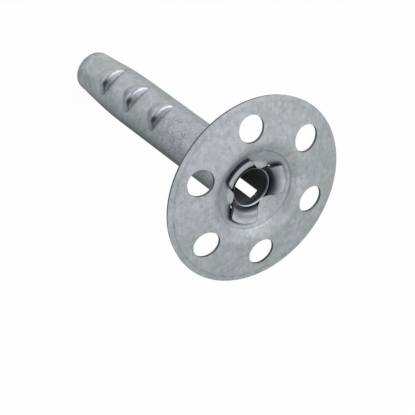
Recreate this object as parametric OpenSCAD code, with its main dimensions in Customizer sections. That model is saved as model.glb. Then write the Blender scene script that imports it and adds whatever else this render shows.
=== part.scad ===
// Metal fixing dowel for insulation boards: a dished disc of sheet steel on a slit tube.
// The Z axis runs along the tube and out of the wall. Z = 0 is the back of the disc's
// hub, where the tube's shoulder seats. +X runs through the centre of a rim hole.

/* [Disc] */
// Diameter of the disc
disc_d = 35; // [33:0.5:40]
// Thickness of the disc's sheet
disc_t = 0.5; // [0.4:0.05:0.6]
// Slope of the disc's face towards the rim, in degrees
dish_angle = 8.9; // [7:0.1:10]
// Width of the band at the rim that is turned further back
rim_w = 0.9; // [0.5:0.1:1.2]
// Slope that the rim band has beyond the face's slope, in degrees
rim_turn = 7; // [0:1:15]

/* [Rim holes] */
// Number of holes around the disc
hole_count = 6; // [3:1:8]
// Diameter of each hole
hole_d = 5; // [4:0.1:6]
// Diameter of the circle through their centres
hole_circle_d = 25; // [24:0.1:26.5]

/* [Hub] */
// Diameter of the punched hole in the middle
centre_hole_d = 6.7; // [6:0.1:6.8]
// Height of the collar that is turned down into the tube, below the hub's floor
collar_h = 0.85; // [0.7:0.05:1.2]
// Rounding radius of the collar's lip on the sheet's back face
lip_round = 0.05; // [0.05:0.01:0.1]
// Width of the sloping floor outside the slots, in plan
floor_run = 2.4; // [2.2:0.05:2.6]
// Slope of the hub's floor, in degrees
floor_angle = 24; // [20:1:25]
// Rounding radius where the floor meets the wall
floor_round = 1.5; // [0.8:0.1:2]
// Width of the hub's wall in plan, before its rounding
wall_run = 1.95; // [1.8:0.05:2.2]
// Slope of the hub's wall, in degrees
wall_angle = 27; // [26:1:31]
// Rounding radius of the hub's shoulder
shoulder_round = 3; // [1.5:0.1:3.2]

/* [Tube] */
// Outer diameter of the tube
tube_d = 9.27; // [9.1:0.01:9.4]
// Thickness of the tube's sheet
tube_t = 0.5; // [0.4:0.05:0.6]
// Length from the shoulder to the tip
tube_len = 51.5; // [50:0.5:70]
// Outer diameter at the tip
tip_d = 7.64; // [7.2:0.01:8]
// Height of the tapered end, before its start is rounded
taper_len = 10.8; // [9:0.1:13]
// Rounding radius where the taper starts
taper_round = 95; // [40:5:110]
// Width of the slit
slit_w = 1.8; // [1:0.1:2.5]
// Depth below the shoulder at which the slit starts
slit_start = 2.15; // [1.5:0.05:6]
// Width of the hairline seam above the slit
seam_w = 0.06; // [0.04:0.01:0.1]

/* [Tabs] */
// Number of tabs
tab_count = 3; // [2:1:3]
// Width of each tab
tab_w = 5.6; // [5:0.1:5.8]
// Radius of the tabs' outer ends
tab_end_r = 6.35; // [6:0.05:6.5]
// Rounding radius of the tabs' corners
tab_corner_r = 0.55; // [0.3:0.05:1]
// Inner radius of the bend in each tab
tab_bend_r = 1; // [0.9:0.05:1.1]
// Slope of a tab's outer part, in degrees
tab_angle = 15; // [12:1:22]
// Gap between a tab and the end of its slot
slot_side_gap = 0.18; // [0.1:0.02:0.3]
// Gap between the tube's bore and the slot's inner edge
slot_inner_gap = 0.5; // [0.4:0.02:0.52]
// Gap between the tube's outside and the slot's outer edge
slot_outer_gap = 0.315; // [0.3:0.005:0.35]

/* [Barbs] */
// Number of barbs
barb_count = 3; // [1:1:3]
// Distance from the shoulder to the steep face of the barb nearest the disc
barb_start = 23.55; // [20:0.05:24]
// Distance from one barb to the next
barb_pitch = 8.3; // [7:0.1:8.4]
// Height of each barb over the tube
barb_h = 1.35; // [1.35:0.05:1.45]
// Height of the steep face, up to its crisp edge
barb_face_h = 0.8; // [0.7:0.05:0.8]
// Lean of the steep face, in degrees
barb_lean = 22; // [18:1:25]
// Radius of a barb's back at its crest, seen along the tube
barb_back_r = 3.4; // [3.2:0.1:3.6]
// Slope of the shoulder between the steep face and the crest, in degrees
barb_shoulder = 42; // [38:1:44]
// Rounding radius of the crest
barb_crest_r = 0.9; // [0.6:0.05:0.9]
// Slope of the long back towards the tip, in degrees
barb_slope = 24; // [20:1:26]

/* [Hidden] */
$fn = 96;
step = 6;                                   // degrees of turn for each piece of a bend
disc_r = disc_d / 2;
tube_r = tube_d / 2;
bore_r = tube_r - tube_t;
tip_r = tip_d / 2;
slot_ri = bore_r - slot_inner_gap;
slot_ro = tube_r + slot_outer_gap;
slot_w = tab_w + 2 * slot_side_gap;
taper = atan((tube_r - tip_r) / taper_len);
taper_z = taper_len - tube_len;
slit_at = 210;                              // direction of the slit, between two tabs
barb_at = slit_at - 180;                    // the barbs face away from the slit

// Front face of the disc, as [radius, height] from the centre hole to the rim
floor_r = slot_ro + floor_run;
floor_top = disc_t + floor_run * tan(floor_angle);
shoulder_r = floor_r + wall_run;
shoulder_z = floor_top + wall_run * tan(wall_angle);
rim_z = shoulder_z - (disc_r - rim_w - shoulder_r) * tan(dish_angle);
face_line = [
    [centre_hole_d / 2, disc_t - collar_h],
    [centre_hole_d / 2, disc_t],
    [slot_ro, disc_t],
    [floor_r, floor_top],
    [shoulder_r, shoulder_z],
    [disc_r - rim_w, rim_z],
    [disc_r, rim_z - rim_w * tan(dish_angle + rim_turn)]
];
face_bends = [0, lip_round + disc_t, 0.8, floor_round, shoulder_round, 3, 0];

// Underside of a tab, which leaves the tube's outer wall at the shoulder
tab_turn = 90 - tab_angle;
flange_r = tab_end_r + 1;
tab_corner_z = tab_bend_r * tan(tab_turn / 2);
flange_z = tab_corner_z + (flange_r - tube_r) * tan(tab_angle);

// A line with its corners rounded: one bend radius for each point, none at the ends
function unit(v) = v / norm(v);
function arc(c, r, a, turn) =
    let (n = max(3, ceil(abs(turn) / step)))
    [for (i = [0 : n]) c + r * [cos(a + turn * i / n), sin(a + turn * i / n)]];
function bend(a, b, c, r) =
    let (
        u = unit(a - b), v = unit(c - b),
        half = acos(u * v) / 2,
        centre = b + unit(u + v) * r / sin(half),
        from = b + u * r / tan(half) - centre,
        to = b + v * r / tan(half) - centre,
        a0 = atan2(from[1], from[0]),
        diff = atan2(to[1], to[0]) - a0,
        turn = diff > 180 ? diff - 360 : diff < -180 ? diff + 360 : diff
    )
    arc(centre, r, a0, turn);
function rounded(p, radii) =
    [for (i = [0 : len(p) - 1])
        each (radii[i] == 0 ? [p[i]] : bend(p[i - 1], p[i], p[i + 1], radii[i]))];

// The same line moved sideways by t, to its right as it is drawn
function right(v) = [v[1], -v[0]];
function beside(p, t) =
    let (last = len(p) - 1)
    [for (i = [0 : last])
        let (
            n0 = right(unit(p[max(i, 1)] - p[max(i, 1) - 1])),
            n1 = right(unit(p[min(i, last - 1) + 1] - p[min(i, last - 1)]))
        )
        p[i] + (n0 + n1) * t / (1 + n0 * n1)];
function reversed(p) = [for (i = [len(p) - 1 : -1 : 0]) p[i]];

// Section of a bent sheet, from one face's line and the thickness on its right
module sheet(p, t) {
    polygon(concat(p, reversed(beside(p, t))));
}

// Plan of a tab or slot: parallel sides, rounded corners and an end on a circle
module tongue(w, end_r, corner_r) {
    yc = w / 2 - corner_r;
    xc = sqrt(pow(end_r - corner_r, 2) - yc * yc);
    lean = atan2(yc, xc);
    polygon(concat(
        [[2, -w / 2]],
        arc([xc, -yc], corner_r, -90, 90 - lean),
        arc([0, 0], end_r, -lean, 2 * lean),
        arc([xc, yc], corner_r, lean, 90 - lean),
        [[2, w / 2]]
    ));
}

module at_each_tab() {
    for (i = [0 : tab_count - 1]) rotate(30 + i * 360 / tab_count) children();
}

// The slots that the tabs come through
module slots() {
    translate([0, 0, -1]) linear_extrude(3) difference() {
        at_each_tab() tongue(slot_w, slot_ro, 0.3);
        circle(slot_ri);
    }
}

module disc() {
    color([0.66, 0.67, 0.69]) difference() {
        rotate_extrude() sheet(rounded(face_line, face_bends), disc_t);
        for (i = [0 : hole_count - 1])
            rotate(i * 360 / hole_count) translate([hole_circle_d / 2, 0, -1])
                cylinder(d = hole_d, h = 5);
        slots();
    }
}

// Faces of the tube's sheet from the tip up, with the tabs' bend as a flange all round
outside_line = rounded([
    [tip_r, -tube_len],
    [tube_r, taper_z],
    [tube_r, tab_corner_z],
    [flange_r, flange_z]
], [0, taper_round, tab_bend_r, 0]);
inside_line = rounded([
    [tip_r - tube_t / cos(taper), -tube_len],
    [bore_r, taper_z],
    [bore_r, (tab_bend_r + tube_t) * tan(tab_turn / 2)],
    [flange_r, flange_z + tube_t / cos(tab_angle)]
], [0, taper_round - tube_t, tab_bend_r + tube_t, 0]);

// The space inside the middle of the sheet, up to just under the shoulder
module core() {
    half_t = tube_t / 2;
    rotate_extrude() polygon(concat(
        [[0, -tube_len - 1], [tip_r - half_t, -tube_len - 1]],
        [for (p = outside_line) if (p[1] < -5) [p[0] - half_t, p[1]]],
        [[tube_r - half_t, -5], [0, -5]]
    ));
}

// One barb: a turned body set off the tube's axis, so that it stands barb_h over the tube
// at its crest and dies into it at both sides. t brings it in to the sheet's inner face.
module barb(face, t) {
    middle = face + 1.5;
    surface_r = tube_r - max(0, middle - (tube_len - taper_len)) * tan(taper);
    off = surface_r + barb_h - barb_back_r;
    edge_r = barb_back_r - barb_h + barb_face_h;
    low = barb_back_r - barb_h - 1.1;
    rise = barb_back_r - edge_r;
    crest_z = -rise / tan(barb_shoulder);
    line = rounded([
        [low, (edge_r - low) * tan(barb_lean)],
        [edge_r, 0],
        [barb_back_r, crest_z],
        [low, crest_z - (barb_back_r - low) / tan(barb_slope)]
    ], [0, 0, barb_crest_r, 0]);
    inner = t == 0 ? line : beside(line, t);
    rotate(barb_at) translate([off, 0, -face - (edge_r - surface_r + off) * tan(barb_lean)]) rotate_extrude()
        polygon(concat([[0, inner[0][1]]], inner, [[0, inner[len(inner) - 1][1]]]));
}

module barbs(t = 0) {
    for (i = [0 : barb_count - 1]) barb(barb_start + i * barb_pitch, t);
}

module tube() {
    color([0.62, 0.63, 0.65]) difference() {
        union() {
            rotate_extrude() polygon(concat(outside_line, reversed(inside_line)));
            difference() {
                barbs();
                core();
            }
        }
        barbs(tube_t);
        // What the blank has cut away around the tabs
        linear_extrude(6) difference() {
            circle(flange_r + 1);
            at_each_tab() tongue(tab_w, tab_end_r, tab_corner_r);
        }
        rotate(slit_at) translate([0, 0, -tube_len - 1]) {
            translate([0, -slit_w / 2, 0]) cube([tube_d, slit_w, tube_len + 1 - slit_start]);
            translate([0, -seam_w / 2, 0]) cube([tube_d, seam_w, tube_len + 2]);
        }
    }
}

disc();
tube();
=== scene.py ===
"""Looks of the metal fixing dowel: dull zinc on the pressed disc and the rolled tube."""

import math

import bpy
from bpy.props import FloatProperty, FloatVectorProperty, PointerProperty
from mathutils import Matrix, Vector


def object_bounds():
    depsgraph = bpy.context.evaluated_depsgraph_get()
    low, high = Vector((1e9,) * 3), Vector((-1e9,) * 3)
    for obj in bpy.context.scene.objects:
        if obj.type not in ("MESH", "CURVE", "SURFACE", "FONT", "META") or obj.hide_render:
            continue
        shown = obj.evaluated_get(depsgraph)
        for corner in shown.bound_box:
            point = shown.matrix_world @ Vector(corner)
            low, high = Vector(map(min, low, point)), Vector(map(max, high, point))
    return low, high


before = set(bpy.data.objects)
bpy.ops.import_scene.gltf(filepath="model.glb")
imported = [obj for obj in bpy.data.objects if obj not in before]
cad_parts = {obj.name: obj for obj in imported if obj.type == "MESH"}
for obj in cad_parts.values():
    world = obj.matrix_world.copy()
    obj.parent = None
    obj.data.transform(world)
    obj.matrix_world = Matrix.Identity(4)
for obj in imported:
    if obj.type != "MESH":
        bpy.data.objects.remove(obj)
cad_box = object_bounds()

bl_info = {
    "name": "Metal fixing dowel",
    "version": (1, 0, 0),
    "blender": (4, 5, 0),
    "location": "3D View > Sidebar > Dowel",
    "description": "Zinc finish for the disc and tube of a metal fixing dowel, with a small studio",
    "category": "Object",
}

MM = 0.001

# Places of the marks and of the painted shade and reflection on the part, in metres and degrees.
# They repeat sizes of its source, which can't be read here. A pair says where a mark starts and
# where it is full.
GROOVE_RADIUS = 7.35 * MM                       # where the hub's floor meets its wall
GROOVE_WIDTH = 0.26 * MM
RIM_LINE_RADIUS = 16.5 * MM                     # just inside the band that is turned back
RIM_LINE_WIDTH = 0.3 * MM
RIM_LINE_SIDE = 125                             # direction in which the painted shade line is darkest
TAB_HEIGHTS = (-0.1 * MM, 0.2 * MM)             # painted shade on the tabs
TAB_BEND = (5.8 * MM, 5.05 * MM)                # radii of the painted shade in the tabs' bends
UNSHADED_TAB = 30                                  # direction of the tab with no painted shade in its bend
UNSHADED_BEND = (6.2 * MM, 5.9 * MM)               # radii of that tab's unshaded part
BARB_PITCH = 8.3 * MM
BARB_END = (3.75 * MM, 3.82 * MM, 0)            # one end of a barb's crest, in plan, where its painted dark reflection lies
BARB_END_Z = -24.15 * MM                        # its height on the barb nearest the disc
BARB_END_TURN = (math.radians(-15), 0, math.radians(45.5))
BARB_END_SHAPE = (1.0, 1.7, 0.95)               # depth, length and height of the spot, as shares
BARB_END_SIZE = (0.64 * MM, 0.22 * MM)          # radii of the spot
SCUFF_SIDE = 60                                 # direction that the scuffed flank faces
SCUFF_HEIGHTS = (-30 * MM, -18 * MM)
TIP_HEIGHTS = (-43 * MM, -50 * MM)              # painted shade darkening the tip
TIP_EDGE_HEIGHTS = (-50.2 * MM, -51.4 * MM)     # the painted shade, darker still at the tip's end
BORE_HEIGHTS = (0.1 * MM, -0.7 * MM)            # painted shade in the bore

# Cosines at which a mark starts and is full: of a bevel's turn, of a slope or of a direction
EDGE_TURN = (0.997, 0.96)
TAB_SLOPE = (0.96, 0.55)
WALL_SLOPE = (0.8, 0.5)
BORE_FACING = (-0.1, -0.4)
UNSHADED_TAB_SECTOR = (0.55, 0.8)
RIM_LINE_SECTOR = (-0.3, 0.5)
SCUFF_SECTOR = (0.35, 0.75)

# Levels of noise between which each mark grows
CLOUD_LEVELS = (0.40, 0.60)
BLOTCH_LEVELS = (0.32, 0.68)
MARK_LEVELS = (0.55, 0.78)
DULL_LEVELS = (0.3, 0.7)
STREAK_LEVELS = (0.35, 0.65)
RIM_LINE_LEVELS = (0.35, 0.6)
SPECK_LEVELS = (0.48, 0.66)
SCUFF_LEVELS = (0.34, 0.56)
TIP_SHADE_LEVELS = (0.3, 0.6)

# The darkest and brightest shade that each part of the film gives, and its least and most dullness
FLECK_SHADES = (0.89, 1.08)
BLOTCH_SHADES = (0.90, 1.05)
STREAK_SHADES = (0.955, 1.035)
CLOUD_DULLNESS = (-0.05, 0.06)
FINE_DULLNESS = (-0.05, 0.05)

# Shares of the marks and of the painted shade in the colour, the dullness and the relief
BEND_SHADE = 0.55
RIM_LINE_FAINT = 0.3                            # the painted shade line on the side where it is least dark
TIP_SHADE_FAINT = 0.5                              # the tip's painted shade between its patches
TIP_SHARE = 0.1
TIP_EDGE_SHARE = 0.5
DARKENING_DULLNESS = 0.2
FINE_RELIEF = 0.6
MARK_RELIEF = 0.8
LINE_RELIEF = 0.5
GROOVE_RELIEF = 2.0
BUMP_STRENGTH = 0.35
BUMP_DEPTH = 0.03 * MM

# Painted shade in the corners: how far it looks for walls, and the openness at which it starts
# and is full
CORNER_SHADE_REACH = 1.0 * MM
CORNER_SHADE_OPENNESS = (0.84, 0.35)

# What the metal mirrors of the floor, from the side away from the sweep to the side towards it
FLOOR_STOPS = (
    (0.0, (0.10, 0.11, 0.11)),
    (0.06, (0.14, 0.15, 0.15)),
    (0.2, (0.42, 0.455, 0.45)),
    (0.4, (0.57, 0.615, 0.605)),
    (0.72, (0.66, 0.69, 0.70)),
    (0.82, (0.94, 0.93, 0.97)),
    (0.93, (1.0, 0.98, 1.0)),
)
FLOOR_WHITE = 0.95                              # share of white in the floor that the camera sees
FLOOR_MIRRORED = 0.9                            # share of these tints in its mirror image

# The room's tint, and its patches: azimuth and elevation in degrees, the cosines at which a
# patch starts and is full, and its tint
ROOM_TINT = (0.55, 0.56, 0.58)
ROOM_PATCHES = (
    (219, 45, -0.2, 0.6, (0.75, 0.77, 0.78)),       # the far side, brighter than the near one
    (240, 58, 0.88, 0.99, (1.12, 1.11, 1.13)),      # a soft panel that the disc's top mirrors
    (140, 61, 0.91, 0.985, (1.15, 1.15, 1.16)),     # a soft panel that the hub's floor mirrors
    (110, 10, 0.55, 0.95, (0.25, 0.255, 0.26)),     # the dim side
    (92, 42, 0.86, 0.95, (0.02, 0.02, 0.02)),       # the tent's opening
)

# The key lamp's place from the part's middle, in degrees and metres, its sides and its roll
KEY_AZIMUTH, KEY_ELEVATION, KEY_DISTANCE = -32, 36, 0.54
KEY_SIZE = (0.9, 0.52)
KEY_ROLL = 22


class ZincSettings(bpy.types.PropertyGroup):
    """Colours and surface of the zinc-plated sheet, and the tints of its painted shade."""
    warm_tint: FloatVectorProperty(
        name="Lavender grey", description="Zinc where its film is thin",
        subtype="COLOR", size=3, min=0, max=1, default=(0.478, 0.489, 0.528))
    cool_tint: FloatVectorProperty(
        name="Green grey", description="Zinc where its film is thicker",
        subtype="COLOR", size=3, min=0, max=1, default=(0.434, 0.468, 0.466))
    # Grey of the handling marks, and of the painted shade in the hub's crease and along the rim's
    # fold
    mark_and_line_shade_tint: FloatVectorProperty(
        name="Marks and painted line shade", description="Handling marks, and painted shade in the crease and the rim line",
        subtype="COLOR", size=3, min=0, max=1, default=(0.27, 0.28, 0.29))
    edge_tint: FloatVectorProperty(
        name="Sheared edge", description="Dark line along the sheet's cut edges",
        subtype="COLOR", size=3, min=0, max=1, default=(0.14, 0.145, 0.16))
    # Painted shade: the grey that darkens the tube's inside
    bore_shade_tint: FloatVectorProperty(
        name="Bore shade", description="Painted shade inside the tube",
        subtype="COLOR", size=3, min=0, max=1, default=(0.34, 0.34, 0.34))
    # Near-black of the specks and the steep walls, of the painted shade in corners, on the tabs and
    # at the tip, and of each barb's painted dark reflection
    dark_and_shade_tint: FloatVectorProperty(
        name="Dark marks and painted shade", description="Dark specks and steep walls, and painted shade in the tabs' bends, in corners and at the tip",
        subtype="COLOR", size=3, min=0, max=1, default=(0.08, 0.085, 0.10))
    cloud_size: FloatProperty(
        name="Cloud size", description="Size of the tint patches",
        subtype="DISTANCE", unit="LENGTH", default=5 * MM)
    fleck_size: FloatProperty(
        name="Fleck size", description="Size of the fine crystal flecks",
        subtype="DISTANCE", unit="LENGTH", default=0.7 * MM)
    edge_round: FloatProperty(
        name="Edge rounding", description="Rounding radius of the sheet's edges",
        subtype="DISTANCE", unit="LENGTH", default=0.07 * MM)
    roughness: FloatProperty(
        name="Roughness", description="Roughness of the dull zinc",
        subtype="FACTOR", min=0, max=1, default=0.38)


class StudioSettings(bpy.types.PropertyGroup):
    """Camera, lamp and floor."""
    azimuth: FloatProperty(
        name="Azimuth", description="Camera's direction from its aim, from +X",
        subtype="ANGLE", unit="ROTATION", default=math.radians(37.37))
    elevation: FloatProperty(
        name="Elevation", description="Camera's height over the horizon",
        subtype="ANGLE", unit="ROTATION", default=math.radians(45.70))
    roll: FloatProperty(
        name="Roll", description="Turn of the camera about its view",
        subtype="ANGLE", unit="ROTATION", default=math.radians(-127.72))
    distance: FloatProperty(
        name="Distance", description="Camera's distance from its aim",
        subtype="DISTANCE", unit="LENGTH", default=369.34 * MM)
    aim: FloatVectorProperty(
        name="Aim", description="Point in the middle of the picture",
        subtype="XYZ", unit="LENGTH", size=3, default=(-0.81 * MM, 8.554 * MM, -0.388 * MM))
    lens: FloatProperty(
        name="Lens", description="Focal length on a 36 mm wide sensor, in mm",
        unit="CAMERA", default=188.76, min=1)
    floor_size: FloatProperty(
        name="Floor", description="Width of the floor",
        subtype="DISTANCE", unit="LENGTH", default=1.6)
    floor_tint: FloatVectorProperty(
        name="Floor colour", description="Pale paper of the floor",
        subtype="COLOR", size=3, min=0, max=1, default=(0.86, 0.86, 0.86))
    sweep: FloatProperty(
        name="Sweep", description="Direction of the floor's bright side, from +X",
        subtype="ANGLE", unit="ROTATION", default=math.radians(4))
    key_power: FloatProperty(
        name="Key light", description="Power of the large soft lamp",
        unit="POWER", default=2.5)


# Directions

def direction(azimuth, elevation=0.0):
    """Unit vector towards an azimuth from +X and an elevation, in radians."""
    return Vector((math.cos(azimuth) * math.cos(elevation), math.sin(azimuth) * math.cos(elevation),
                   math.sin(elevation)))


def heading(azimuth, elevation=0.0):
    """The same in degrees."""
    return direction(math.radians(azimuth), math.radians(elevation))


# Node tools

def put(tree, source, target):
    """Feeds a socket from another socket, or sets it to a plain value."""
    if hasattr(source, "is_output"):
        tree.links.new(source, target)
    else:
        target.default_value = source


def join(tree, *pairs):
    """Links pairs of an output and an input."""
    for source, target in pairs:
        tree.links.new(source, target)


def add(tree, kind, **values):
    """A new node. A value named in_... sets or feeds that input, and the others set attributes."""
    node = tree.nodes.new(kind)
    for name, value in values.items():
        if name.startswith("in_"):
            put(tree, value, node.inputs[name[3:].replace("_", " ")])
        else:
            setattr(node, name, value)
    return node


def rgba(colour):
    """A colour with full opacity."""
    return (*colour, 1.0)


def mix_colour(tree, a, b, factor, blend="MIX"):
    """Colour a changed into b by a factor; each is a socket or a plain value."""
    node = add(tree, "ShaderNodeMix", data_type="RGBA", blend_type=blend, in_Factor=factor)
    for source, name in ((a, "A"), (b, "B")):
        put(tree, source if hasattr(source, "is_output") else rgba(source), node.inputs[name])
    return node.outputs["Result"]


def ramp(tree, source, low, high, out_low=0.0, out_high=1.0):
    """A value mapped from one range to another, and held inside it."""
    node = add(tree, "ShaderNodeMapRange", clamp=True, in_Value=source, in_From_Min=low,
               in_From_Max=high, in_To_Min=out_low, in_To_Max=out_high)
    return node.outputs["Result"]


def math_node(tree, operation, *sources):
    """Result of an operation on numbers; each source is a socket or a plain value."""
    node = add(tree, "ShaderNodeMath", operation=operation)
    for index, source in enumerate(sources):
        put(tree, source, node.inputs[index])
    return node.outputs["Value"]


def vector_node(tree, operation, *sources):
    """Result of an operation on vectors; each source is a socket or a plain value."""
    node = add(tree, "ShaderNodeVectorMath", operation=operation)
    for index, source in enumerate(sources):
        put(tree, source, node.inputs[index])
    return node.outputs["Value" if operation in ("DOT_PRODUCT", "LENGTH") else "Vector"]


def grey(tree, value):
    """A value as a grey colour."""
    node = add(tree, "ShaderNodeCombineColor", in_Red=value, in_Green=value, in_Blue=value)
    return node.outputs["Color"]


def noise(tree, place, scale, detail, rough=0.5, distort=0.0):
    """Cloudy noise from 0 to 1."""
    return add(tree, "ShaderNodeTexNoise", in_Vector=place, in_Scale=scale, in_Detail=detail,
               in_Roughness=rough, in_Distortion=distort).outputs["Fac"]


def axis(tree, vector, name):
    """One coordinate of a vector."""
    return add(tree, "ShaderNodeSeparateXYZ", in_Vector=vector).outputs[name]


def in_plan(tree, place):
    """A point's place seen along the tube."""
    return vector_node(tree, "MULTIPLY", place, (1, 1, 0))


def radius(tree, place):
    """A point's distance from the tube's axis."""
    return vector_node(tree, "LENGTH", in_plan(tree, place))


def off_ring(tree, place, size):
    """A point's distance from a ring of that radius round the tube's axis, seen along it."""
    return math_node(tree, "ABSOLUTE", math_node(tree, "SUBTRACT", radius(tree, place), size))


def outward(tree, place):
    """Unit vector from the tube's axis to a point."""
    return vector_node(tree, "NORMALIZE", in_plan(tree, place))


def bearing(tree, place, degrees):
    """How nearly a point lies in a direction from the tube's axis, as a cosine."""
    return vector_node(tree, "DOT_PRODUCT", outward(tree, place), heading(degrees))


def steepness(tree, normal, start, full):
    """How steep a surface is, from the upright part of its normal."""
    return ramp(tree, math_node(tree, "ABSOLUTE", axis(tree, normal, "Z")), start, full)


def mix_shader(tree, a, b, factor):
    """Shader a changed into b by a factor."""
    node = add(tree, "ShaderNodeMixShader", in_Fac=factor)
    join(tree, (a, node.inputs[1]), (b, node.inputs[2]))
    return node.outputs["Shader"]


def new_group(name, inputs, outputs):
    """A shader node group; its inputs and outputs are pairs of a name and a kind of socket."""
    group = bpy.data.node_groups.new(name, "ShaderNodeTree")
    for way, sockets in (("INPUT", inputs), ("OUTPUT", outputs)):
        for socket, kind in sockets:
            group.interface.new_socket(name=socket, in_out=way, socket_type="NodeSocket" + kind)
    return group, group.nodes.new("NodeGroupInput"), group.nodes.new("NodeGroupOutput")


def mask_group(name, *vectors):
    """A group that gives a mask from 0 to 1, from the vectors of those names."""
    return new_group(name, [(socket, "Vector") for socket in vectors], [("Mask", "Float")])


def shared(name, make):
    """The group of that name, made the first time it is asked for."""
    return bpy.data.node_groups.get(name) or make(name)


# Shared effects

def zinc_film_group(name):
    """Mottled zinc: tint patches with a lean of painted reflection, crystal flecks and marks, as
    colour, dullness and height.
    """
    tree, given, out = new_group(
        name,
        [("Warm", "Color"), ("Cool", "Color"), ("Dark", "Color"), ("Place", "Vector"),
         ("Cloud Scale", "Float"), ("Fleck Scale", "Float"), ("Marks", "Float"),
         ("Lean", "Vector")],
        [("Color", "Color"), ("Dullness", "Float"), ("Height", "Float")])
    place, clouds, flecks = (given.outputs[socket]
                             for socket in ("Place", "Cloud Scale", "Fleck Scale"))

    # Tint patches, with more of the cool tint on the side that the film leans to. The lean is
    # painted
    # reflection: darker and greener on that side, lighter lavender on the other
    cloud = noise(tree, place, clouds, detail=3.0, rough=0.55)
    leaned_reflection = vector_node(tree, "DOT_PRODUCT", place, given.outputs["Lean"])
    patch = ramp(tree, math_node(tree, "ADD", cloud, leaned_reflection), *CLOUD_LEVELS)
    tint = mix_colour(tree, given.outputs["Warm"], given.outputs["Cool"], patch)

    # Crystal flecks, each of one shade, under small blotches
    cells = add(tree, "ShaderNodeTexVoronoi", feature="F1", in_Vector=place, in_Scale=flecks)
    shade = add(tree, "ShaderNodeSeparateColor", in_Color=cells.outputs["Color"])
    blotch = noise(tree, place, math_node(tree, "MULTIPLY", clouds, 5.0), detail=4.0, rough=0.65)
    fleck = math_node(tree, "MULTIPLY", ramp(tree, shade.outputs["Red"], 0.0, 1.0, *FLECK_SHADES),
                      ramp(tree, blotch, *BLOTCH_LEVELS, *BLOTCH_SHADES))
    flecked = mix_colour(tree, tint, grey(tree, fleck), 1.0, "MULTIPLY")

    # Grey marks
    coarse = noise(tree, place, math_node(tree, "MULTIPLY", clouds, 2.3), detail=6.0, rough=0.7,
                   distort=0.6)
    marks = math_node(tree, "MULTIPLY", ramp(tree, coarse, *MARK_LEVELS), given.outputs["Marks"])
    colour = mix_colour(tree, flecked, given.outputs["Dark"], marks)

    # Dullness and relief
    fine = noise(tree, place, math_node(tree, "MULTIPLY", flecks, 1.7), detail=4.0, rough=0.6)
    dull = math_node(tree, "ADD", ramp(tree, cloud, *DULL_LEVELS, *CLOUD_DULLNESS),
                     ramp(tree, fine, *DULL_LEVELS, *FINE_DULLNESS))
    height = math_node(tree, "ADD", math_node(tree, "MULTIPLY", fine, FINE_RELIEF),
                       math_node(tree, "MULTIPLY", coarse, MARK_RELIEF))
    join(tree, (colour, out.inputs["Color"]), (dull, out.inputs["Dullness"]),
         (height, out.inputs["Height"]))
    return tree


def edge_group(name):
    """How near a point is to a sharp edge, from 0 on the flat to 1 on the edge."""
    tree, given, out = mask_group(name, "Softened")
    here = add(tree, "ShaderNodeNewGeometry")
    turn = vector_node(tree, "DOT_PRODUCT", given.outputs["Softened"], here.outputs["Normal"])
    join(tree, (ramp(tree, turn, *EDGE_TURN), out.inputs["Mask"]))
    return tree


def inside_group(name):
    """Painted shade in the bore: where a point faces the tube's axis from below its mouth."""
    tree, given, out = mask_group(name, "Place", "Normal")
    place = given.outputs["Place"]
    facing_out = vector_node(tree, "DOT_PRODUCT", outward(tree, place), given.outputs["Normal"])
    hidden = ramp(tree, facing_out, *BORE_FACING)
    deep = ramp(tree, axis(tree, place, "Z"), *BORE_HEIGHTS)
    join(tree, (math_node(tree, "MULTIPLY", hidden, deep), out.inputs["Mask"]))
    return tree


def tab_shade_group(name):
    """Painted shade where the tabs over the disc's hub are bent or steep, apart from one tab's
    bend.
    """
    tree, given, out = mask_group(name, "Place", "Normal")
    place = given.outputs["Place"]
    from_axis = radius(tree, place)
    steep = steepness(tree, given.outputs["Normal"], *TAB_SLOPE)
    bend = ramp(tree, from_axis, *TAB_BEND, 0.0, BEND_SHADE)
    unshaded = math_node(tree, "MULTIPLY",
                      ramp(tree, bearing(tree, place, UNSHADED_TAB), *UNSHADED_TAB_SECTOR),
                      ramp(tree, from_axis, *UNSHADED_BEND))
    spread = math_node(tree, "MULTIPLY", math_node(tree, "MAXIMUM", steep, bend),
                       math_node(tree, "SUBTRACT", 1.0, unshaded))
    above = ramp(tree, axis(tree, place, "Z"), *TAB_HEIGHTS)
    join(tree, (math_node(tree, "MULTIPLY", spread, above), out.inputs["Mask"]))
    return tree


def sheared_group(name):
    """Where a surface stands up across the sheet: the cut walls of the rim and the holes."""
    tree, given, out = mask_group(name, "Normal")
    join(tree, (steepness(tree, given.outputs["Normal"], *WALL_SLOPE), out.inputs["Mask"]))
    return tree


def rim_line_group(name):
    """A painted shade line where the rim is turned back, broken up by noise and darkest on one
    side.
    """
    tree, given, out = mask_group(name, "Place")
    place = given.outputs["Place"]
    patchy = noise(tree, place, scale=700.0, detail=4.0, rough=0.7)
    off = off_ring(tree, place, RIM_LINE_RADIUS)
    line = math_node(tree, "MULTIPLY", ramp(tree, off, RIM_LINE_WIDTH, RIM_LINE_WIDTH / 10),
                     ramp(tree, patchy, *RIM_LINE_LEVELS))
    side = ramp(tree, bearing(tree, place, RIM_LINE_SIDE), *RIM_LINE_SECTOR, RIM_LINE_FAINT, 1.0)
    join(tree, (math_node(tree, "MULTIPLY", line, side), out.inputs["Mask"]))
    return tree


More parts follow.
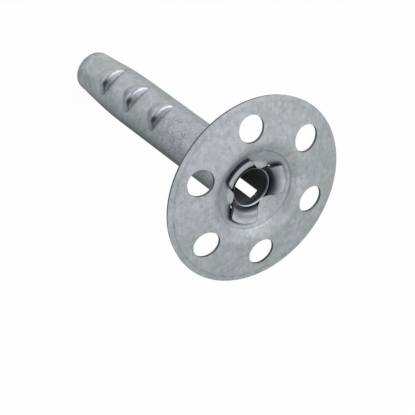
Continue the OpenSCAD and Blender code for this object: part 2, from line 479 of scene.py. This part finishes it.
def scuff_and_tip_shade_group(name):
    """Dark specks on the tube's flank near the disc, and painted shade that darkens its tip."""
    tree, given, out = mask_group(name, "Place", "Normal")
    place = given.outputs["Place"]
    height = axis(tree, place, "Z")
    across = vector_node(tree, "DOT_PRODUCT", given.outputs["Normal"], heading(SCUFF_SIDE))
    specks = noise(tree, place, scale=2600.0, detail=4.0, rough=0.75, distort=0.3)
    patches = noise(tree, place, scale=500.0, detail=2.0)
    zone = math_node(tree, "MULTIPLY", ramp(tree, height, *SCUFF_HEIGHTS),
                     ramp(tree, across, *SCUFF_SECTOR))
    patchy = math_node(tree, "MULTIPLY", ramp(tree, specks, *SPECK_LEVELS),
                     ramp(tree, patches, *SCUFF_LEVELS))
    scuffed = math_node(tree, "MULTIPLY", zone, patchy)
    tip = math_node(tree, "ADD", ramp(tree, height, *TIP_HEIGHTS, 0.0, TIP_SHARE),
                    ramp(tree, height, *TIP_EDGE_HEIGHTS, 0.0, TIP_EDGE_SHARE))
    tip_shade = math_node(tree, "MULTIPLY", tip,
                       ramp(tree, patches, *TIP_SHADE_LEVELS, TIP_SHADE_FAINT, 1.0))
    join(tree, (math_node(tree, "MAXIMUM", scuffed, tip_shade), out.inputs["Mask"]))
    return tree


def barb_dark_reflection_group(name):
    """A painted dark reflection: a spot at one end of each barb's crest."""
    tree, given, out = mask_group(name, "Place")
    apart = add(tree, "ShaderNodeSeparateXYZ", in_Vector=given.outputs["Place"])
    along = math_node(tree, "WRAP", math_node(tree, "SUBTRACT", apart.outputs["Z"], BARB_END_Z),
                      BARB_PITCH / 2, -BARB_PITCH / 2)
    folded = add(tree, "ShaderNodeCombineXYZ", in_X=apart.outputs["X"], in_Y=apart.outputs["Y"],
                 in_Z=along)
    spot = add(tree, "ShaderNodeMapping", vector_type="TEXTURE", in_Vector=folded.outputs["Vector"],
               in_Location=BARB_END, in_Rotation=BARB_END_TURN, in_Scale=BARB_END_SHAPE)
    far = vector_node(tree, "LENGTH", spot.outputs["Vector"])
    join(tree, (ramp(tree, far, *BARB_END_SIZE), out.inputs["Mask"]))
    return tree


def crease_group(name):
    """A fine pressed line around the hub; the disc takes it as a groove in the relief and as
    painted shade.
    """
    tree, given, out = mask_group(name, "Place")
    off = off_ring(tree, given.outputs["Place"], GROOVE_RADIUS)
    join(tree, (ramp(tree, off, 0.0, GROOVE_WIDTH, 1.0, 0.0), out.inputs["Mask"]))
    return tree


def zinc_material(name, settings, *, shift, reflection_lean, painted_lift, marks, grain, turn, edge_wear, edge_width,
                  corner_shade, darkenings, groove=None):
    """Zinc-plated steel: the film's mottling, dark sheared edges, painted shade in the corners, the
    darkenings, given as (mask group, tint, strength), fine rolling lines and one pressed groove.

    shift moves the film's pattern. The lean is painted reflection: the film's cool, darker tint
    grows towards it and its lighter tint away from it. The lift is painted light that brightens or
    darkens this copy of the whole film. grain stretches the rolling lines, and turn turns them, in
    degrees."""
    material = bpy.data.materials.new(name)
    material.use_nodes = True
    tree = material.node_tree
    tree.nodes.clear()
    place = add(tree, "ShaderNodeTexCoord")

    film = add(tree, "ShaderNodeGroup", node_tree=shared("Zinc film", zinc_film_group))
    for socket, value in (("Warm", rgba(Vector(settings.warm_tint) * painted_lift)),
                          ("Cool", rgba(Vector(settings.cool_tint) * painted_lift)),
                          ("Dark", rgba(settings.mark_and_line_shade_tint)),
                          ("Cloud Scale", 1 / settings.cloud_size),
                          ("Fleck Scale", 1 / settings.fleck_size),
                          ("Marks", marks), ("Lean", reflection_lean),
                          ("Place", vector_node(tree, "ADD", place.outputs["Object"], shift))):
        put(tree, value, film.inputs[socket])

    softened = add(tree, "ShaderNodeBevel", samples=6, in_Radius=settings.edge_round * edge_width)
    edge = add(tree, "ShaderNodeGroup", node_tree=shared("Sheared edge", edge_group),
               in_Softened=softened.outputs["Normal"]).outputs["Mask"]
    colour = mix_colour(tree, film.outputs["Color"], settings.edge_tint,
                        math_node(tree, "MULTIPLY", edge, edge_wear))
    # Painted shade: the colour darkens where the ambient occlusion finds walls close by
    open_to = add(tree, "ShaderNodeAmbientOcclusion", samples=8, in_Distance=CORNER_SHADE_REACH)
    hidden = ramp(tree, open_to.outputs["AO"], *CORNER_SHADE_OPENNESS)
    colour = mix_colour(tree, colour, settings.dark_and_shade_tint,
                        math_node(tree, "MULTIPLY", hidden, corner_shade))
    dull = math_node(tree, "ADD", film.outputs["Dullness"], settings.roughness)
    # The darkenings hold the callers' marks and their painted shade alike
    for group, tint, strength in darkenings:
        darkening = add(tree, "ShaderNodeGroup", node_tree=group)
        for socket, source in (("Place", "Object"), ("Normal", "Normal")):
            if socket in darkening.inputs:
                join(tree, (place.outputs[source], darkening.inputs[socket]))
        amount = math_node(tree, "MULTIPLY", darkening.outputs["Mask"], strength)
        colour = mix_colour(tree, colour, tint, amount)
        dull = math_node(tree, "ADD", dull, math_node(tree, "MULTIPLY", amount, DARKENING_DULLNESS))
    dull = math_node(tree, "ADD", dull, math_node(tree, "MULTIPLY", edge, DARKENING_DULLNESS))

    stretch = add(tree, "ShaderNodeMapping", in_Vector=place.outputs["Object"], in_Scale=grain,
                  in_Rotation=(0, 0, math.radians(turn)))
    lines = noise(tree, stretch.outputs["Vector"], scale=1.0, detail=3.0)
    streaks = grey(tree, ramp(tree, lines, *STREAK_LEVELS, *STREAK_SHADES))
    colour = mix_colour(tree, colour, streaks, 1.0, "MULTIPLY")
    height = math_node(tree, "ADD", film.outputs["Height"],
                       math_node(tree, "MULTIPLY", lines, LINE_RELIEF))
    if groove:
        pressed = add(tree, "ShaderNodeGroup", node_tree=groove, in_Place=place.outputs["Object"])
        height = math_node(tree, "SUBTRACT", height,
                           math_node(tree, "MULTIPLY", pressed.outputs["Mask"], GROOVE_RELIEF))
    bump = add(tree, "ShaderNodeBump", in_Strength=BUMP_STRENGTH, in_Distance=BUMP_DEPTH,
               in_Height=height, in_Normal=softened.outputs["Normal"])

    surface = add(tree, "ShaderNodeBsdfPrincipled", in_Metallic=1.0, in_Base_Color=colour,
                  in_Roughness=dull, in_Normal=bump.outputs["Normal"])
    add(tree, "ShaderNodeOutputMaterial", in_Surface=surface.outputs["BSDF"])
    return material


# Pieces

def dress(node_name, material):
    """Gives a CAD node its finish."""
    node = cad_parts[node_name]
    node.data.materials.clear()
    node.data.materials.append(material)


class DOWEL_OT_disc(bpy.types.Operator):
    """Finishes the pressed disc in dull zinc"""
    bl_idname = "dowel.disc"
    bl_label = "Disc"

    def execute(self, context):
        zinc = context.scene.dowel_zinc
        crease = shared("Crease", crease_group)
        # Painted light: the lean makes the side towards 35° lighter and the side away from it
        # darker and greener, and the lift of 0.99 darkens this copy of the zinc
        dress("disc", zinc_material(
            "Pressed disc zinc", zinc, shift=(0, 0, 0), reflection_lean=heading(35) * -8, painted_lift=0.99,
            marks=0.5, grain=(300, 4500, 300), turn=-58, edge_wear=0.3, edge_width=1.0,
            corner_shade=0.5, groove=crease,
            # Painted shade: the crease's line, and the rim line, darkest on the side at 125°. The
            # steep walls are darkened too
            darkenings=[(crease, zinc.mark_and_line_shade_tint, 0.6),
                    (shared("Rim line", rim_line_group), zinc.mark_and_line_shade_tint, 0.75),
                    (shared("Sheared walls", sheared_group), zinc.dark_and_shade_tint, 0.8)]))
        return {"FINISHED"}


class DOWEL_OT_tube(bpy.types.Operator):
    """Finishes the rolled tube and its tabs in dull zinc"""
    bl_idname = "dowel.tube"
    bl_label = "Tube"

    def execute(self, context):
        zinc = context.scene.dowel_zinc
        # Painted light: the lean makes the side facing 37° lighter lavender and the far side and
        # the tip darker and greener, and the lift of 1.07 brightens this copy of the zinc
        dress("tube", zinc_material(
            "Rolled tube zinc", zinc, shift=(-2.4 * MM, -1.8 * MM, 19 * MM),
            reflection_lean=heading(37, 9) * -25, painted_lift=1.07, marks=0.6, grain=(700, 700, 5000), turn=0,
            edge_wear=1.0, edge_width=2.4, corner_shade=0.3,
            # The specks on the flank are wear. The tip's, the tabs' and the bore's darkening are
            # painted shade, and the spot on each barb's crest is a painted dark reflection
            darkenings=[(shared("Scuffs and tip shade", scuff_and_tip_shade_group), zinc.dark_and_shade_tint, 0.75),
                    (shared("Painted dark reflection on the barbs", barb_dark_reflection_group), zinc.dark_and_shade_tint, 0.95),
                    (shared("Painted shade on the tabs", tab_shade_group), zinc.dark_and_shade_tint, 0.85),
                    (shared("Inside the tube", inside_group), zinc.bore_shade_tint, 1.0)]))
        return {"FINISHED"}


# Studio

def facing(place, target, roll):
    """Matrix of a lamp or camera at place that looks at target, turned by roll about its view."""
    look = (target - place).to_track_quat("-Z", "Y").to_matrix().to_4x4()
    return Matrix.Translation(place) @ look @ Matrix.Rotation(roll, 4, "Z")


def link(name, data):
    """A new object in the scene."""
    made = bpy.data.objects.new(name, data)
    bpy.context.scene.collection.objects.link(made)
    return made


def add_camera(studio):
    data = bpy.data.cameras.new("Camera")
    data.sensor_width = 36
    data.lens = studio.lens
    data.clip_start = 0.01
    camera = link("Camera", data)
    aim = Vector(studio.aim)
    place = aim + direction(studio.azimuth, studio.elevation) * studio.distance
    camera.matrix_world = facing(place, aim, -studio.roll)
    bpy.context.scene.camera = camera


def add_key(studio):
    data = bpy.data.lights.new("Key", "AREA")
    data.shape = "RECTANGLE"
    data.size, data.size_y = KEY_SIZE
    data.energy = studio.key_power
    middle = (cad_box[0] + cad_box[1]) / 2
    place = middle + heading(KEY_AZIMUTH, KEY_ELEVATION) * KEY_DISTANCE
    link("Key", data).matrix_world = facing(place, middle, math.radians(KEY_ROLL))


def paper_material(studio):
    """Pale paper: white to the camera, with the part's shadow, and graded in the metal's mirror."""
    material = bpy.data.materials.new("Pale paper")
    material.use_nodes = True
    tree = material.node_tree
    tree.nodes.clear()
    path = add(tree, "ShaderNodeLightPath")
    paper = add(tree, "ShaderNodeBsdfDiffuse", in_Color=rgba(studio.floor_tint))
    white = add(tree, "ShaderNodeEmission", in_Strength=1.0, in_Color=(1, 1, 1, 1))
    shown = mix_shader(tree, paper.outputs["BSDF"], white.outputs["Emission"],
                       math_node(tree, "MULTIPLY", path.outputs["Is Camera Ray"], FLOOR_WHITE))

    place = add(tree, "ShaderNodeTexCoord")
    away = vector_node(tree, "NORMALIZE", place.outputs["Object"])
    across = vector_node(tree, "DOT_PRODUCT", away, direction(studio.sweep))
    shade = add(tree, "ShaderNodeValToRGB", in_Fac=ramp(tree, across, -1.0, 1.0))
    while len(shade.color_ramp.elements) < len(FLOOR_STOPS):
        shade.color_ramp.elements.new(0.5)
    for stop, (at, tint) in zip(shade.color_ramp.elements, FLOOR_STOPS):
        stop.position, stop.color = at, rgba(tint)
    mirrored = add(tree, "ShaderNodeEmission", in_Strength=1.0, in_Color=shade.outputs["Color"])
    both = mix_shader(tree, shown, mirrored.outputs["Emission"],
                      math_node(tree, "MULTIPLY", path.outputs["Is Glossy Ray"], FLOOR_MIRRORED))
    add(tree, "ShaderNodeOutputMaterial", in_Surface=both)
    return material


def add_floor(studio):
    half = studio.floor_size / 2
    mesh = bpy.data.meshes.new("Floor")
    mesh.from_pydata([(-half, -half, 0), (half, -half, 0), (half, half, 0), (-half, half, 0)],
                     [], [(0, 1, 2, 3)])
    mesh.materials.append(paper_material(studio))
    floor = link("Floor", mesh)
    floor.location.z = cad_box[0].z


def add_world():
    """A tent around the part, in patches of brighter and dimmer cloth, white to the camera."""
    world = bpy.data.worlds.new("Studio")
    bpy.context.scene.world = world
    world.use_nodes = True
    tree = world.node_tree
    tree.nodes.clear()
    place = add(tree, "ShaderNodeTexCoord")
    tent = ROOM_TINT
    for azimuth, elevation, start, full, tint in ROOM_PATCHES:
        near = vector_node(tree, "DOT_PRODUCT", place.outputs["Generated"],
                           heading(azimuth, elevation))
        tent = mix_colour(tree, tent, tint, ramp(tree, near, start, full))
    room = add(tree, "ShaderNodeBackground", in_Strength=1.0, in_Color=tent)
    white = add(tree, "ShaderNodeBackground", in_Strength=1.0, in_Color=(1, 1, 1, 1))
    path = add(tree, "ShaderNodeLightPath")
    both = mix_shader(tree, room.outputs["Background"], white.outputs["Background"],
                      path.outputs["Is Camera Ray"])
    add(tree, "ShaderNodeOutputWorld", in_Surface=both)


class DOWEL_OT_studio(bpy.types.Operator):
    """Adds the camera, the floor, the lamp and the room's light"""
    bl_idname = "dowel.studio"
    bl_label = "Studio"

    def execute(self, context):
        studio = context.scene.dowel_studio
        add_camera(studio)
        add_floor(studio)
        add_key(studio)
        add_world()
        context.scene.view_settings.view_transform = "Standard"
        return {"FINISHED"}


class DOWEL_PT_panel(bpy.types.Panel):
    """Lists the dowel's pieces and settings"""
    bl_idname = "DOWEL_PT_panel"
    bl_label = "Metal fixing dowel"
    bl_space_type = "VIEW_3D"
    bl_region_type = "UI"
    bl_category = "Dowel"

    def draw(self, context):
        for operator in PIECES:
            self.layout.operator(operator.bl_idname)
        for settings, kind in ((context.scene.dowel_zinc, ZincSettings),
                               (context.scene.dowel_studio, StudioSettings)):
            box = self.layout.box()
            for name in kind.__annotations__:
                box.prop(settings, name)


PIECES = (DOWEL_OT_disc, DOWEL_OT_tube, DOWEL_OT_studio)
CLASSES = (ZincSettings, StudioSettings, *PIECES, DOWEL_PT_panel)


def register():
    for kind in CLASSES:
        bpy.utils.register_class(kind)
    bpy.types.Scene.dowel_zinc = PointerProperty(type=ZincSettings)
    bpy.types.Scene.dowel_studio = PointerProperty(type=StudioSettings)


def unregister():
    del bpy.types.Scene.dowel_studio
    del bpy.types.Scene.dowel_zinc
    for kind in reversed(CLASSES):
        bpy.utils.unregister_class(kind)


def main():
    register()
    bpy.ops.dowel.disc()
    bpy.ops.dowel.tube()
    bpy.ops.dowel.studio()


if __name__ == "__main__":
    main()
